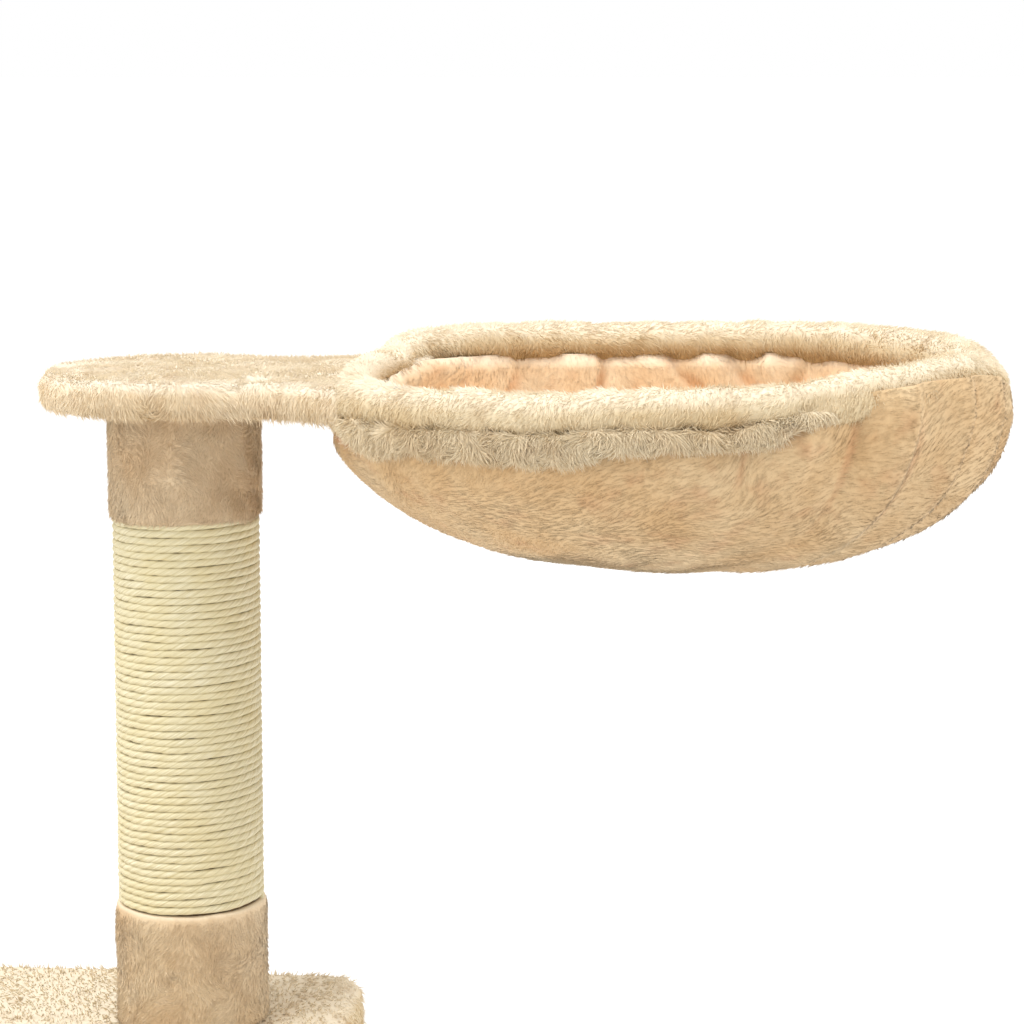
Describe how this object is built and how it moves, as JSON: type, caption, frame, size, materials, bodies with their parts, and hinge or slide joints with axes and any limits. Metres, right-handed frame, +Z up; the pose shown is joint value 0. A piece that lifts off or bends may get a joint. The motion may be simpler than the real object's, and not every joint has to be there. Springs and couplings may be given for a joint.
{
  "type": "cat tree",
  "caption": "Low cat tree: a sisal scratching post on a plush covered plate carries a plush platform with a round hammock bowl on a wire ring.",
  "frame": {"origin": "on the floor, under the middle of the whole tree's bounding box", "axes": "+X from the post towards the hammock, +Y towards the plate's edge nearest the post, +Z up"},
  "size_m": [0.8138, 0.4372, 0.3542],
  "materials": {
    "cream_plush": "short brushed pile",
    "tan_plush": "short brushed pile",
    "platform_plush": "short brushed pile",
    "apricot_plush": "short brushed pile",
    "sisal": "twisted natural fibre",
    "particle_board": "raw chipboard",
    "plywood": "raw",
    "cardboard": "matte",
    "zinc_steel": "zinc plated",
    "wire": "bright drawn"
  },
  "bodies": {
    "base_and_post": {"base_board": "particle_board", "base_plush_cover": "cream_plush", "base_bolt_washer": "zinc_steel", "base_bolt": "zinc_steel", "post_tube": "cardboard", "bottom_end_plug": "particle_board", "bottom_tee_nut": "zinc_steel", "top_end_plug": "particle_board", "top_tee_nut": "zinc_steel", "sisal_rope_winding": "sisal", "lower_plush_collar": "tan_plush", "upper_plush_collar": "tan_plush", "top_stud": "zinc_steel"},
    "hammock_platform": {"platform_board": "plywood", "platform_tee_nut": "zinc_steel", "platform_plush_cover": "platform_plush", "front_ring_strap": "zinc_steel", "front_strap_screw_inner": "zinc_steel", "front_strap_screw_outer": "zinc_steel", "back_ring_strap": "zinc_steel", "back_strap_screw_inner": "zinc_steel", "back_strap_screw_outer": "zinc_steel", "hammock_ring_wire": "wire", "ring_ferrule": "zinc_steel", "rim_casing": "cream_plush", "hammock_outer_bowl": "cream_plush", "hammock_lining": "apricot_plush"}
  },
  "joints": [
    {"name": "platform_swivel", "type": "hinge", "parent": "base_and_post", "child": "hammock_platform", "pos_m": [0.0181, 0.05635, 0.326], "axis": [0, 0, 1], "continuous": true}
  ]
}
